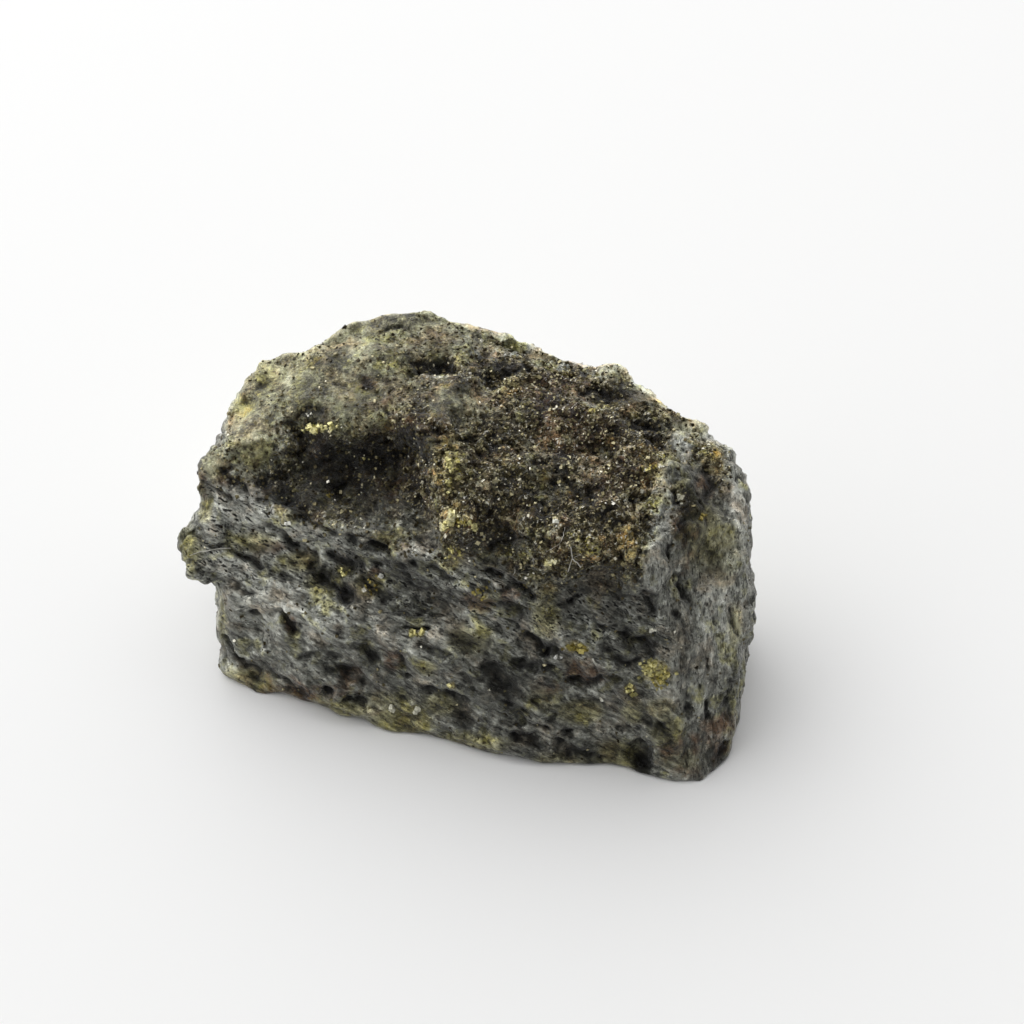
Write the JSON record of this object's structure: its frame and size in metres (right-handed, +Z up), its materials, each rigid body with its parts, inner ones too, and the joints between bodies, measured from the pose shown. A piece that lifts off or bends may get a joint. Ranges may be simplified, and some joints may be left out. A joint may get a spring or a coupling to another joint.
{
  "type": "rough pyrite",
  "caption": "Free-standing lump of rough, laminated pyrite with ledges, a hollow under its left dome and a flat it rests on",
  "frame": {"origin": "under the middle of the lump, on the flat it rests on", "axes": "+X along the length, -Y the front, +Z up"},
  "size_m": [0.0284, 0.0168, 0.0137],
  "materials": {
    "pyrite": "rough dark olive-grey pyrite with a dull metallic sheen, small brassy crystals and brown rust"
  },
  "bodies": {
    "root": {"pyrite_lump": "pyrite"}
  },
  "joints": []
}
